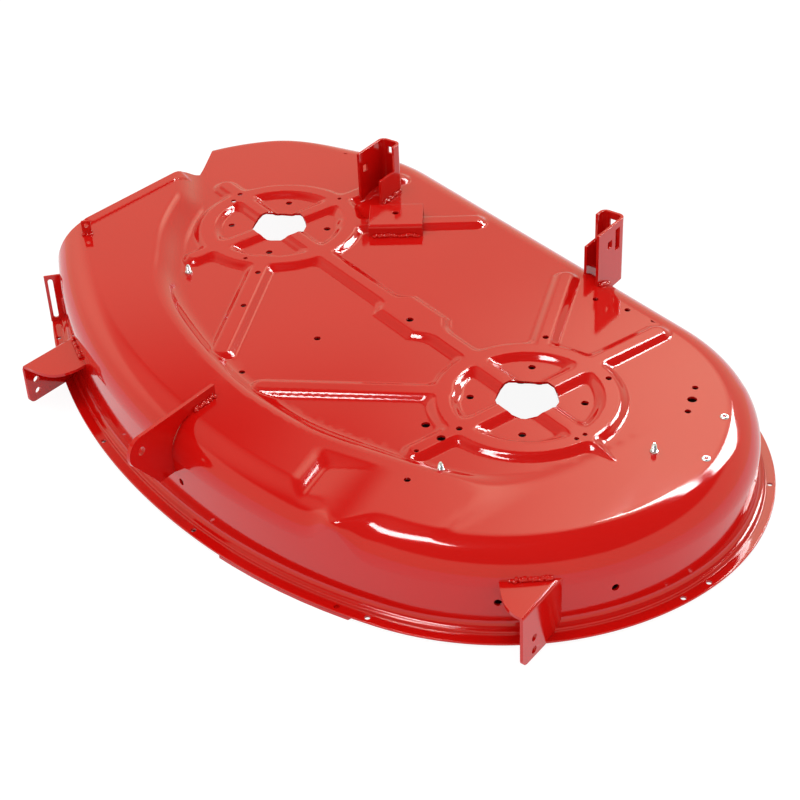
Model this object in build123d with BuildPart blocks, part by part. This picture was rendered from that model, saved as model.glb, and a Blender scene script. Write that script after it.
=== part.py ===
# Stamped steel mower deck with its welded brackets. Millimetres.
# Origin on the right spindle axis at the level of the flat top of the pressing.
# +X runs to the left spindle and the closed end, +Y to the rear, +Z up.
import os
from math import atan2, cos, degrees, radians, sin, sqrt, tan

from build123d import *

os.makedirs("parts", exist_ok=True)

# Sheet and skirt
sheet = 3.0
rim_depth = 102.0
shoulder = 45.0
ledge_out = 8.0
ledge_step = 5.0
flange_out = 22.0

# Spindles and the volute of the skirt wall
spindle_pitch = 548.0
end_radius = 281.0
front_radius = 329.0
nose_radius = 746.0
sweep_radius = 964.0
front_from = 4.0
nose_from = -62.8
sweep_from = -82.8
corner_radius = 70.0

# Spindle seats and pressed ribs
press_height = 6.5
press_run = 11.0
seat_base = 122.0
pocket_floor = 83.0
spoke_width = 36.0
spindle_hole = 38.5
bolt_square = 98.6
bolt_hole = 4.75

# Discharge tunnel
tunnel_top = 28.0
tunnel_fall_x = 0.02823
tunnel_fall_y = 0.01128
tunnel_x = -180.0
tunnel_y = -130.0
side_rise = 42.0

# Brackets
plate = 4.0
bend = 6.0
hanger_top = 77.0
hanger_long = 68.0
hanger_width = 36.0
hanger_skirt = 19.0
hanger_step = 40.0
hanger_low = 46.0
hanger_high = 20.0
hanger_right_long = 62.0
hanger_right_width = 35.0
hanger_right_step = 38.0
hanger_right_low = 54.0
square_hole = 10.5
bridge_long = 76.0
bridge_wide = 65.0
bridge_top = 17.0
gauge_left_top = -30.0
gauge_right_top = -41.0
gauge_reach = 74.0
gauge_hole = 4.6
link_plate = 5.0
ear_plate = 3.0
strip_thick = 4.0
weld = 3.5

ledge_top = -rim_depth + sheet + ledge_step
flange_top = -rim_depth + sheet
press_taper = degrees(atan2(press_run, press_height))
press_shift = tan(radians(90.0 - press_taper) / 2)


def polar(centre, radius, angle):
    x = centre[0] + radius * cos(radians(angle))
    y = centre[1] + radius * sin(radians(angle))
    return (x, y)


spindle_a = (0.0, 0.0)
spindle_b = (spindle_pitch, 0.0)
front_c = polar(spindle_b, end_radius - front_radius, front_from)
nose_c = polar(front_c, front_radius - nose_radius, nose_from)
sweep_c = polar(nose_c, nose_radius - sweep_radius, sweep_from)


arcs = {
    "end": (spindle_b, end_radius),
    "front": (front_c, front_radius),
    "nose": (nose_c, nose_radius),
    "sweep": (sweep_c, sweep_radius),
}


def wall_at(arc, angle, out=0.0):
    centre, radius = arcs[arc]
    return polar(centre, radius + out, angle)


def wall_point(x, out=0.0):
    y = sweep_c[1] - sqrt((sweep_radius + out) ** 2 - (x - sweep_c[0]) ** 2)
    return (x, y)


def wall_outline(out):
    left = -(end_radius + out)
    corner = wall_point(left, out)
    stop = degrees(atan2(corner[1] - sweep_c[1], corner[0] - sweep_c[0]))
    stop = stop - 360 if stop > 0 else stop
    with BuildSketch() as outline:
        with BuildLine():
            Line((0, end_radius + out), (spindle_pitch, end_radius + out))
            CenterArc(spindle_b, end_radius + out, 90, front_from - 90)
            CenterArc(front_c, front_radius + out, front_from, nose_from - front_from)
            CenterArc(nose_c, nose_radius + out, nose_from, sweep_from - nose_from)
            CenterArc(sweep_c, sweep_radius + out, sweep_from, stop - sweep_from)
            Line(corner, (left, 0))
            CenterArc(spindle_a, end_radius + out, 180, -90)
        make_face()
        near = outline.vertices().sort_by_distance((corner[0], corner[1], 0))[0]
        fillet(near, corner_radius + out)
    return outline.sketch


# Inner foot of the tunnel, from the discharge to the step pocket
foot_pts = [(-262, 24), (-150, -40), (-70, -112), (44, -193), (187, -236), (354, -243), (480, -250)]
step_pts = [(480, -250), (506, -279), (560, -450)]


def foot_shift(points, amount):
    moved = []
    for k, point in enumerate(points):
        before = points[max(k - 1, 0)]
        after = points[min(k + 1, len(points) - 1)]
        run = sqrt((after[0] - before[0]) ** 2 + (after[1] - before[1]) ** 2)
        x = point[0] + amount * (after[1] - before[1]) / run
        y = point[1] - amount * (after[0] - before[0]) / run
        moved.append((x, y))
    return moved


def side_outline(amount):
    foot = foot_shift(foot_pts, amount)
    face = foot_shift(step_pts, amount)
    meet = foot[-1]
    with BuildSketch() as outline:
        with BuildLine():
            Spline(*foot)
            Line(meet, face[1])
            Line(face[1], face[2])
            Line(face[2], (1000, -450))
            Line((1000, -450), (1000, 500))
            Line((1000, 500), (-420, 500))
            Line((-420, 500), (-420, 150))
            Line((-420, 150), foot[0])
        make_face()
    return outline.sketch


def deck_body(inset):
    low = -rim_depth - (1.0 if inset else 0.0)
    roof = Plane(
        origin=(tunnel_x, tunnel_y, tunnel_top - inset),
        z_dir=(tunnel_fall_x, tunnel_fall_y, 1),
    )
    with BuildPart() as side:
        with BuildSketch(Plane.XY.offset(-inset)):
            add(side_outline(0.414 * inset))
        with BuildSketch(Plane.XY.offset(side_rise - inset)):
            add(side_outline(0.414 * inset + side_rise))
        loft(ruled=True)
        with BuildSketch(Plane.XY.offset(-inset)):
            add(side_outline(0.414 * inset))
        extrude(amount=-70)
    with BuildPart() as raised:
        with BuildSketch(Plane.XY.offset(-60)):
            add(wall_outline(-inset))
        extrude(amount=120)
        split(bisect_by=roof, keep=Keep.BOTTOM)
        top = raised.faces().sort_by(Axis.Z)[-1]
        fillet(top.edges(), shoulder - inset)
        add(side.part, mode=Mode.SUBTRACT)
    with BuildPart() as body:
        with BuildSketch(Plane.XY.offset(low)):
            add(wall_outline(-inset))
        extrude(amount=-inset - low)
        fillet(body.faces().sort_by(Axis.Z)[-1].edges(), shoulder - inset)
        add(raised.part)
        with BuildSketch(Plane.XY.offset(low)):
            add(wall_outline(ledge_out - inset))
        extrude(amount=ledge_top - inset - low)
        if not inset:
            with BuildSketch(Plane.XY.offset(low)):
                add(wall_outline(flange_out))
            extrude(amount=sheet)
        shift = press_shift * inset
        for x in (0.0, spindle_pitch):
            outer = seat_base - shift
            hollow = pocket_floor + shift
            with BuildSketch(Plane((x, 0, -inset), x_dir=(1, 0, 0), z_dir=(0, -1, 0))):
                with BuildLine():
                    Polyline(
                        (hollow, -1),
                        (outer, -1),
                        (outer, 0),
                        (outer - press_run, press_height),
                        (hollow + press_run, press_height),
                        (hollow, 0),
                        close=True,
                    )
                make_face()
            revolve(axis=Axis((x, 0, 0), (0, 0, 1)))
            with BuildSketch(Plane((x, 0, -inset))):
                Rectangle(2 * pocket_floor + 30, spoke_width - 2 * shift)
            extrude(amount=press_height, taper=press_taper)
            with BuildSketch(Plane((x, 0, -inset))):
                Rectangle(spoke_width - 2 * shift, 2 * pocket_floor + 30)
            extrude(amount=press_height, taper=press_taper)
        for start, end, width in ribs:
            run = sqrt((end[0] - start[0]) ** 2 + (end[1] - start[1]) ** 2)
            middle = ((start[0] + end[0]) / 2, (start[1] + end[1]) / 2, -inset)
            along = (end[0] - start[0], end[1] - start[1], 0)
            with BuildSketch(Plane(middle, x_dir=along, z_dir=(0, 0, 1))):
                SlotOverall(run + width - 2 * shift, width - 2 * shift)
            extrude(amount=press_height, taper=press_taper)
        with BuildSketch(Plane.XY.offset(-inset)):
            with BuildLine():
                Polyline(
                    (hub_x0 + shift, 1),
                    (hub_x0 + hub_cut, hub_y0 + shift),
                    (hub_x1 - hub_cut_left, hub_y0 + shift),
                    (hub_x1 - shift, 1),
                    (hub_x1 - hub_cut_left, hub_y1 - shift),
                    (hub_x0 + hub_cut, hub_y1 - shift),
                    close=True,
                )
            make_face()
        extrude(amount=press_height, taper=press_taper)
    return body.part


# Pressed ribs: start, end, width at the foot
ribs = [
    ((100, 1), (262, 1), 37),
    ((0, 95), (0, 213), 36),
    ((-95, 2), (-148, 2), 37),
    ((-2, -95), (-2, -140), 36),
    ((70, -72), (222, -234), 38),
    ((66, 80), (172, 219), 38),
    ((448, 2), (366, 2), 37),
    ((545, 95), (545, 218), 37),
    ((643, 0), (700, 0), 36),
    ((546, -95), (546, -168), 36),
    ((471, 92), (371, 217), 36),
    ((474, -70), (321, -236), 37),
]

# Six-sided boss between the spindles
hub_x0 = 248.0
hub_x1 = 395.0
hub_y0 = -32.0
hub_y1 = 37.0
hub_cut = 26.0
hub_cut_left = 46.0

# Holes in the top: x, y, radius
top_holes = [
    (-109, 3, 4),
    (-98, -15, 4),
    (-123, 204, 4),
    (-2, 107, 3),
    (51, -89, 3),
    (94, -96, 4),
    (152, -156, 4),
    (272, -120, 4.5),
    (274, -236, 4),
    (322, -8, 5),
    (466, 100, 4),
    (584, 100, 4),
    (547, -104, 4),
    (509, -125, 5.5),
    (548, -132, 5.5),
    (549, -169, 3),
    (650, 2, 3),
    (650, -11, 3),
    (586, -210, 4),
    (479, 229, 4),
    (520, 237, 4),
    (433, 215, 4),
    (659, 173, 4),
    (674, 153, 6),
    (688, 132, 4),
]

# Holes in the rim flange: arc of the wall, angle on it
rim_holes = [
    ("end", 42.8),
    ("front", 3.7),
    ("front", -3.0),
    ("nose", -63.8),
    ("nose", -66.8),
    ("sweep", -83.6),
    ("sweep", -96.9),
    ("sweep", -112.4),
]
rim_hole = 3.4
rim_hole_set = (ledge_out + flange_out) / 2

# Holes through the skirt wall: arc of the wall, angle on it, height
wall_holes = [
    ("front", -16.9, -59.0),
    ("front", -39.9, -59.0),
    ("sweep", -85.8, -55.0),
]

# Discharge opening in plan, from the rear corner past the lip to the flange end
lip_end = wall_point(-143.6)
flange_end = wall_point(-131.5)
flange_far = wall_point(-143.0, flange_out + 6)
discharge = [
    (-330, 112),
    (-205, -9),
    (-199, -34.3),
    lip_end,
    flange_end,
    flange_far,
    (-200, -sweep_radius),
    (-420, -sweep_radius),
    (-420, 112),
]

deck_outer = deck_body(0.0)
deck_inner = deck_body(sheet)

with BuildPart() as deck_shell:
    add(deck_outer)
    add(deck_inner, mode=Mode.SUBTRACT)
    with BuildSketch(Plane.XY.offset(-rim_depth - 5)):
        with BuildLine():
            Polyline(*discharge, close=True)
        make_face()
    extrude(amount=rim_depth + 60, mode=Mode.SUBTRACT)
    for x in (0.0, spindle_pitch):
        with BuildSketch(Plane((x, 0, -20))):
            Circle(spindle_hole)
            with GridLocations(bolt_square, bolt_square, 2, 2):
                Circle(bolt_hole)
        extrude(amount=60, mode=Mode.SUBTRACT)
    with BuildSketch(Plane.XY.offset(-20)):
        for x, y, r in top_holes:
            with Locations((x, y)):
                Circle(r)
    extrude(amount=70, mode=Mode.SUBTRACT)
    with BuildSketch(Plane.XY.offset(-rim_depth - 1)):
        for arc, angle in rim_holes:
            with Locations(wall_at(arc, angle, rim_hole_set)):
                Circle(rim_hole)
    extrude(amount=sheet + 2, mode=Mode.SUBTRACT)
    for arc, angle, high in wall_holes:
        x, y = wall_at(arc, angle)
        with BuildSketch(Plane((x, y, high), z_dir=(cos(radians(angle)), sin(radians(angle)), 0))):
            Circle(gauge_hole)
        extrude(amount=12, both=True, mode=Mode.SUBTRACT)
deck_shell.part.label = "deck_shell"
export_step(deck_shell.part, "parts/deck_shell.step")


def heading(angle):
    return (sin(radians(angle)), -cos(radians(angle)), 0)


def across(angle):
    return (cos(radians(angle)), sin(radians(angle)), 0)


def moved(point, angle, along, side, z):
    d = heading(angle)
    n = across(angle)
    return (point[0] + along * d[0] + side * n[0], point[1] + along * d[1] + side * n[1], z)


# Rear hangers: outer front corner in plan, heading of the cheeks
hanger_set = 43.4
hanger_left_at = (412.6, end_radius - hanger_set)
hanger_left_turn = 15.8
hanger_right_at = (13.0, 132.0)
hanger_right_turn = 18.0


def hanger_plan(hand, width, low, high):
    with BuildSketch() as plan:
        with BuildLine():
            Polyline(
                (0, 0),
                (low, 0),
                (low, -hand * plate),
                (plate, -hand * plate),
                (plate, -hand * (width - plate)),
                (high, -hand * (width - plate)),
                (high, -hand * width),
                (0, -hand * width),
                close=True,
            )
        make_face()
        corners = [(0, 0), (0, -hand * width)]
        inside = [(plate, -hand * plate), (plate, -hand * (width - plate))]
        for spot in corners:
            fillet(plan.vertices().sort_by_distance((spot[0], spot[1], 0))[0], bend + plate)
        for spot in inside:
            fillet(plan.vertices().sort_by_distance((spot[0], spot[1], 0))[0], bend)
    return plan.sketch


left_back = moved(hanger_left_at, hanger_left_turn, -hanger_long, 0, 0)
right_back = moved(hanger_right_at, hanger_right_turn, -hanger_right_long, 0, 0)
left_plane = Plane(left_back, x_dir=heading(hanger_left_turn), z_dir=(0, 0, 1))
right_plane = Plane(right_back, x_dir=heading(hanger_right_turn), z_dir=(0, 0, 1))
left_cheek = Plane(left_back, x_dir=heading(hanger_left_turn), z_dir=across(hanger_left_turn))
right_cheek = Plane(right_back, x_dir=heading(hanger_right_turn), z_dir=across(hanger_right_turn))
left_web = Plane(left_back, x_dir=across(hanger_left_turn), z_dir=heading(hanger_left_turn))
right_web = Plane(right_back, x_dir=across(hanger_right_turn), z_dir=heading(hanger_right_turn))

with BuildPart() as rear_hanger_left:
    with BuildSketch(left_plane.offset(-hanger_skirt)):
        add(hanger_plan(1, hanger_width, hanger_long, hanger_low))
    extrude(amount=hanger_skirt + hanger_step)
    with BuildSketch(left_plane.offset(hanger_step)):
        add(hanger_plan(1, hanger_width, hanger_long, hanger_high))
    extrude(amount=hanger_top - hanger_step)
    with BuildSketch(left_cheek):
        with Locations((40, -51)):
            Rectangle(square_hole, square_hole)
        with Locations((21, -51)):
            Rectangle(square_hole, 32)
    extrude(amount=plate + 1, both=True, mode=Mode.SUBTRACT)
    with BuildSketch(left_web):
        with Locations((-18, 61)):
            Rectangle(square_hole, square_hole)
    extrude(amount=plate + 1, both=True, mode=Mode.SUBTRACT)
    add(deck_outer, mode=Mode.SUBTRACT)
rear_hanger_left.part.label = "rear_hanger_left"
export_step(rear_hanger_left.part, "parts/rear_hanger_left.step")

with BuildPart() as rear_hanger_right:
    with BuildSketch(right_plane.offset(-hanger_skirt)):
        add(hanger_plan(-1, hanger_right_width, hanger_right_long, hanger_right_low))
    extrude(amount=hanger_skirt + hanger_right_step)
    with BuildSketch(right_plane.offset(hanger_right_step)):
        add(hanger_plan(-1, hanger_right_width, hanger_right_long, hanger_high))
    extrude(amount=hanger_top - hanger_right_step)
    with BuildSketch(right_cheek):
        with Locations((48, -49)):
            Rectangle(square_hole, square_hole)
    extrude(amount=plate + 1, both=True, mode=Mode.SUBTRACT)
    with BuildSketch(right_web):
        with Locations((18, 61)):
            Rectangle(square_hole, square_hole)
    extrude(amount=plate + 1, both=True, mode=Mode.SUBTRACT)
    add(deck_outer, mode=Mode.SUBTRACT)
rear_hanger_right.part.label = "rear_hanger_right"
export_step(rear_hanger_right.part, "parts/rear_hanger_right.step")

# Bent plate over the rear rib of the right spindle
bridge_at = (104.7, 131.5)
bridge_turn = 51.5
bridge_x = (cos(radians(bridge_turn)), sin(radians(bridge_turn)), 0)
bridge_y = (-sin(radians(bridge_turn)), cos(radians(bridge_turn)), 0)
bridge_plane = Plane((bridge_at[0], bridge_at[1], 0), x_dir=bridge_x, z_dir=(0, 0, 1))
bridge_end = Plane((bridge_at[0], bridge_at[1], 0), x_dir=bridge_y, z_dir=bridge_x)
with BuildPart() as rib_bridge:
    with BuildSketch(bridge_end):
        with BuildLine():
            Polyline(
                (-bridge_wide / 2, -3),
                (-bridge_wide / 2, bridge_top),
                (bridge_wide / 2, bridge_top),
                (bridge_wide / 2, -3),
                (bridge_wide / 2 - plate, -3),
                (bridge_wide / 2 - plate, bridge_top - plate),
                (-bridge_wide / 2 + plate, bridge_top - plate),
                (-bridge_wide / 2 + plate, -3),
                close=True,
            )
        made = make_face()
        fillet(made.vertices().group_by(Axis.Y)[-1], plate + 1)
    extrude(amount=bridge_long / 2, both=True)
    with BuildSketch(bridge_plane):
        with Locations((-1, 4.6)):
            Circle(gauge_hole)
    extrude(amount=40, mode=Mode.SUBTRACT)
    add(deck_outer, mode=Mode.SUBTRACT)
rib_bridge.part.label = "rib_bridge"
export_step(rib_bridge.part, "parts/rib_bridge.step")

# Upright plate on the front shoulder
link_at = wall_at("sweep", -87.87, -80.0)
link_turn = 17.6
link_plane = Plane((link_at[0], link_at[1], 0), x_dir=heading(link_turn), z_dir=across(link_turn))
link_reach = 129.5
link_eye = 14.8
link_nose = 20.0
with BuildPart() as front_link_bracket:
    with BuildSketch(link_plane):
        with BuildLine():
            Line((-2, -10), (-2, -31))
            Line((-2, -31), (link_reach, -link_eye - link_nose))
            ThreePointArc(
                (link_reach, -link_eye - link_nose),
                (link_reach + link_nose, -link_eye),
                (link_reach + 13, -link_eye + 16),
            )
            Line((link_reach + 13, -link_eye + 16), (108, 46))
            Line((108, 46), (72, 48))
            Line((72, 48), (72, 24))
            Line((72, 24), (81.7, 24))
            ThreePointArc((81.7, 24), (70.5, -5.5), (45, -15.6))
            Line((45, -15.6), (45, -10))
            Line((45, -10), (-2, -10))
        make_face()
        with Locations((link_reach, -link_eye)):
            Circle(gauge_hole + 1, mode=Mode.SUBTRACT)
    extrude(amount=-link_plate)
    add(deck_outer, mode=Mode.SUBTRACT)
front_link_bracket.part.label = "front_link_bracket"
export_step(front_link_bracket.part, "parts/front_link_bracket.step")

# Gauge wheel brackets: outer end of the fold, heading of the plate
gauge_left_at = wall_at("front", -35.9, 56.7)
gauge_left_turn = 16.3
gauge_right_at = wall_at("sweep", -104.56, 77.2)
gauge_right_turn = 14.2
gauge_flat = Plane(
    (gauge_left_at[0], gauge_left_at[1], gauge_left_top),
    x_dir=heading(gauge_left_turn),
    z_dir=(0, 0, 1),
)
gauge_side = Plane(
    (gauge_left_at[0], gauge_left_at[1], 0),
    x_dir=heading(gauge_left_turn),
    z_dir=across(gauge_left_turn),
)
with BuildPart() as gauge_bracket_left:
    with BuildSketch(gauge_flat):
        with BuildLine():
            Line((-gauge_reach - 20, 0), (0, 0))
            Spline((0, 0), (-7, -27.6), (-21, -43), (-34, -54))
            Line((-34, -54), (-gauge_reach - 20, 0))
        make_face()
    extrude(amount=-plate)
    with BuildSketch(gauge_side):
        with BuildLine():
            Polyline(
                (-gauge_reach - 20, -gauge_left_top),
                (0, -gauge_left_top),
                (0, rim_depth),
                (-gauge_reach - 20, rim_depth),
                close=True,
            )
        made = make_face()
        fillet(made.vertices().sort_by_distance((0, rim_depth, 0))[0], 9)
        with Locations((-22, 74), (-22, 92)):
            Circle(gauge_hole, mode=Mode.SUBTRACT)
    extrude(amount=-plate)
    add(deck_outer, mode=Mode.SUBTRACT)
gauge_bracket_left.part.label = "gauge_bracket_left"
export_step(gauge_bracket_left.part, "parts/gauge_bracket_left.step")

gauge_flat_right = Plane(
    (gauge_right_at[0], gauge_right_at[1], gauge_right_top),
    x_dir=heading(gauge_right_turn),
    z_dir=(0, 0, 1),
)
gauge_side_right = Plane(
    (gauge_right_at[0], gauge_right_at[1], 0),
    x_dir=heading(gauge_right_turn),
    z_dir=across(gauge_right_turn),
)
with BuildPart() as gauge_bracket_right:
    with BuildSketch(gauge_flat_right):
        with BuildLine():
            Line((-gauge_reach - 30, 0), (0, 0))
            Spline((0, 0), (-3, 34), (-10, 52), (-28, 64), (-62, 66))
            Line((-62, 66), (-gauge_reach - 30, 0))
        make_face()
    extrude(amount=-plate)
    with BuildSketch(gauge_side_right):
        with BuildLine():
            Polyline(
                (-gauge_reach - 30, -gauge_right_top),
                (0, -gauge_right_top),
                (0, rim_depth),
                (-gauge_reach - 30, rim_depth),
                close=True,
            )
        made = make_face()
        fillet(made.vertices().sort_by_distance((0, rim_depth, 0))[0], 9)
        with Locations((-16, 71), (-16, 89)):
            Circle(gauge_hole, mode=Mode.SUBTRACT)
    extrude(amount=plate)
    add(deck_outer, mode=Mode.SUBTRACT)
gauge_bracket_right.part.label = "gauge_bracket_right"
export_step(gauge_bracket_right.part, "parts/gauge_bracket_right.step")

# Slotted ear at the end of the rim flange
ear_at = wall_point(-126.0)
ear_out = (
    (ear_at[0] - sweep_c[0]) / sweep_radius,
    (ear_at[1] - sweep_c[1]) / sweep_radius,
    0,
)
ear_side = (ear_out[1], -ear_out[0], 0)
ear_top = -24.0
ear_plane = Plane((ear_at[0], ear_at[1], 0), x_dir=ear_out, z_dir=ear_side)
ear_up = 1 if ear_plane.y_dir.Z > 0 else -1
with BuildPart() as chute_ear:
    with BuildSketch(ear_plane):
        with Locations((6.5, ear_up * (ear_top + flange_top) / 2)):
            Rectangle(33, ear_top - flange_top)
        with Locations((15, ear_up * (ear_top + flange_top) / 2)):
            SlotOverall(64, 7, rotation=90, mode=Mode.SUBTRACT)
    extrude(amount=ear_plate)
    add(deck_outer, mode=Mode.SUBTRACT)
chute_ear.part.label = "chute_ear"
export_step(chute_ear.part, "parts/chute_ear.step")

# Small tab with a hole on the discharge roof
tab_set = 23.6
tab_in = 46.6
tab_at = wall_point(lip_end[0] + tab_set, -tab_in)
tab_turn = 60.0
tab_top = tunnel_top + 21.0
tab_wide = 13.0
tab_x = (cos(radians(tab_turn)), sin(radians(tab_turn)), 0)
tab_z = (sin(radians(tab_turn)), -cos(radians(tab_turn)), 0)
tab_plane = Plane((tab_at[0], tab_at[1], 0), x_dir=tab_x, z_dir=tab_z)
with BuildPart() as chute_tab:
    with BuildSketch(tab_plane):
        with Locations((0, tab_top - 15)):
            Rectangle(tab_wide, 30)
        with Locations((0, tab_top - 7)):
            Circle(3, mode=Mode.SUBTRACT)
    extrude(amount=ear_plate)
    add(deck_outer, mode=Mode.SUBTRACT)
chute_tab.part.label = "chute_tab"
export_step(chute_tab.part, "parts/chute_tab.step")

# Curved bar under the front of the rim
strip_from = 447.0
strip_to = 629.0
strip_wide = 18.0
with BuildPart() as rim_strip:
    with BuildSketch(Plane.XY.offset(-rim_depth - strip_thick)):
        add(wall_outline(flange_out))
        add(wall_outline(flange_out - strip_wide), mode=Mode.SUBTRACT)
        with Locations(((strip_from + strip_to) / 2, -front_radius)):
            Rectangle(strip_to - strip_from, front_radius, mode=Mode.INTERSECT)
    extrude(amount=strip_thick)
rim_strip.part.label = "rim_strip"
export_step(rim_strip.part, "parts/rim_strip.step")

# Zinc studs and rivets on the top
stud_at = [(720, 46), (591, -166), (24, -165)]
stud_high = 13.0
with BuildPart() as studs:
    for x, y in stud_at:
        with BuildSketch(Plane((x, y, 0))):
            RegularPolygon(5.5, 6)
        extrude(amount=2.5)
        with BuildSketch(Plane((x, y, 2.5))):
            Circle(4.4)
        with BuildSketch(Plane((x, y, stud_high))):
            Circle(2.6)
        loft()
studs.part.label = "studs"
export_step(studs.part, "parts/studs.step")

rivet_at = [wall_at("end", 41.8, -shoulder - 0.5), wall_at("end", 20.8, -shoulder - 1.8)]
with BuildPart() as rivets:
    with BuildSketch():
        with Locations(*rivet_at):
            Circle(6.2)
            Circle(2.2, mode=Mode.SUBTRACT)
    extrude(amount=1.8)
rivets.part.label = "rivets"
export_step(rivets.part, "parts/rivets.step")


def run_between(start, end):
    return (end[0] - start[0], end[1] - start[1], end[2] - start[2])


def run_length(start, end):
    d = run_between(start, end)
    return sqrt(d[0] ** 2 + d[1] ** 2 + d[2] ** 2)


# Weld beads, each a round bead trimmed by the plates it joins
wl_a = moved(hanger_left_at, hanger_left_turn, -4, 0, 0)
wl_b = moved(hanger_left_at, hanger_left_turn, -26, 0, -6.0)
with BuildPart() as hanger_left_weld:
    with BuildSketch(Plane(wl_a, z_dir=run_between(wl_a, wl_b))):
        Circle(weld)
    extrude(amount=run_length(wl_a, wl_b))
    add(deck_outer, mode=Mode.SUBTRACT)
    add(rear_hanger_left.part, mode=Mode.SUBTRACT)
hanger_left_weld.part.label = "hanger_left_weld"
export_step(hanger_left_weld.part, "parts/hanger_left_weld.step")

wr_a = moved(hanger_right_at, hanger_right_turn, hanger_right_low - hanger_right_long - 3, hanger_right_width, 0)
wr_b = moved(hanger_right_at, hanger_right_turn, -hanger_right_long + 12, hanger_right_width, 0)
with BuildPart() as hanger_right_weld:
    with BuildSketch(Plane(wr_a, z_dir=run_between(wr_a, wr_b))):
        Circle(weld)
    extrude(amount=run_length(wr_a, wr_b))
    add(deck_outer, mode=Mode.SUBTRACT)
    add(rear_hanger_right.part, mode=Mode.SUBTRACT)
hanger_right_weld.part.label = "hanger_right_weld"
export_step(hanger_right_weld.part, "parts/hanger_right_weld.step")

wb_a = tuple(bridge_plane.from_local_coords((-30, -bridge_wide / 2, 0)))
wb_b = tuple(bridge_plane.from_local_coords((30, -bridge_wide / 2, 0)))
with BuildPart() as bridge_weld:
    with BuildSketch(Plane(wb_a, z_dir=run_between(wb_a, wb_b))):
        Circle(weld)
    extrude(amount=run_length(wb_a, wb_b))
    add(deck_outer, mode=Mode.SUBTRACT)
    add(rib_bridge.part, mode=Mode.SUBTRACT)
bridge_weld.part.label = "bridge_weld"
export_step(bridge_weld.part, "parts/bridge_weld.step")


def roof_height(x, y):
    return tunnel_top - tunnel_fall_x * (x - tunnel_x) - tunnel_fall_y * (y - tunnel_y)


lk_a = moved(link_at, link_turn, 3, 0, 0)
lk_b = moved(link_at, link_turn, 36, 0, 0)
lk_a = (lk_a[0], lk_a[1], roof_height(lk_a[0], lk_a[1]))
lk_b = (lk_b[0], lk_b[1], roof_height(lk_b[0], lk_b[1]))
with BuildPart() as link_weld:
    with BuildSketch(Plane(lk_a, z_dir=run_between(lk_a, lk_b))):
        Circle(weld)
    extrude(amount=run_length(lk_a, lk_b))
    add(deck_outer, mode=Mode.SUBTRACT)
    add(front_link_bracket.part, mode=Mode.SUBTRACT)
link_weld.part.label = "link_weld"
export_step(link_weld.part, "parts/link_weld.step")

shoulder_set = sqrt(shoulder**2 - (shoulder + gauge_left_top) ** 2) - shoulder
gl_a = (*wall_at("front", -30.0, shoulder_set), gauge_left_top)
gl_b = (*wall_at("front", -37.5, shoulder_set), gauge_left_top)
with BuildPart() as gauge_left_weld:
    with BuildSketch(Plane(gl_a, z_dir=run_between(gl_a, gl_b))):
        Circle(weld)
    extrude(amount=run_length(gl_a, gl_b))
    add(deck_outer, mode=Mode.SUBTRACT)
    add(gauge_bracket_left.part, mode=Mode.SUBTRACT)
gauge_left_weld.part.label = "gauge_left_weld"
export_step(gauge_left_weld.part, "parts/gauge_left_weld.step")

shoulder_low = sqrt(shoulder**2 - (shoulder + gauge_right_top) ** 2) - shoulder
gr_a = (*wall_at("sweep", -106.4, shoulder_low), gauge_right_top)
gr_b = (*wall_at("sweep", -103.6, shoulder_low), gauge_right_top)
with BuildPart() as gauge_right_weld:
    with BuildSketch(Plane(gr_a, z_dir=run_between(gr_a, gr_b))):
        Circle(weld)
    extrude(amount=run_length(gr_a, gr_b))
    add(deck_outer, mode=Mode.SUBTRACT)
    add(gauge_bracket_right.part, mode=Mode.SUBTRACT)
gauge_right_weld.part.label = "gauge_right_weld"
export_step(gauge_right_weld.part, "parts/gauge_right_weld.step")

with BuildPart() as ear_weld:
    with BuildSketch(Plane((ear_at[0], ear_at[1], ledge_top + 8))):
        Circle(weld)
    extrude(amount=24)
    add(deck_outer, mode=Mode.SUBTRACT)
    add(chute_ear.part, mode=Mode.SUBTRACT)
ear_weld.part.label = "ear_weld"
export_step(ear_weld.part, "parts/ear_weld.step")

tab_foot = roof_height(tab_at[0], tab_at[1])
tb_a = (tab_at[0] - 5 * tab_x[0], tab_at[1] - 5 * tab_x[1], tab_foot)
with BuildPart() as tab_weld:
    with BuildSketch(Plane(tb_a, z_dir=tab_x)):
        Circle(weld)
    extrude(amount=10)
    add(deck_outer, mode=Mode.SUBTRACT)
    add(chute_tab.part, mode=Mode.SUBTRACT)
tab_weld.part.label = "tab_weld"
export_step(tab_weld.part, "parts/tab_weld.step")
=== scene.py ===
import math

import bmesh
import bpy
import numpy as np
from mathutils import Matrix, Vector
from mathutils.geometry import delaunay_2d_cdt


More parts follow.
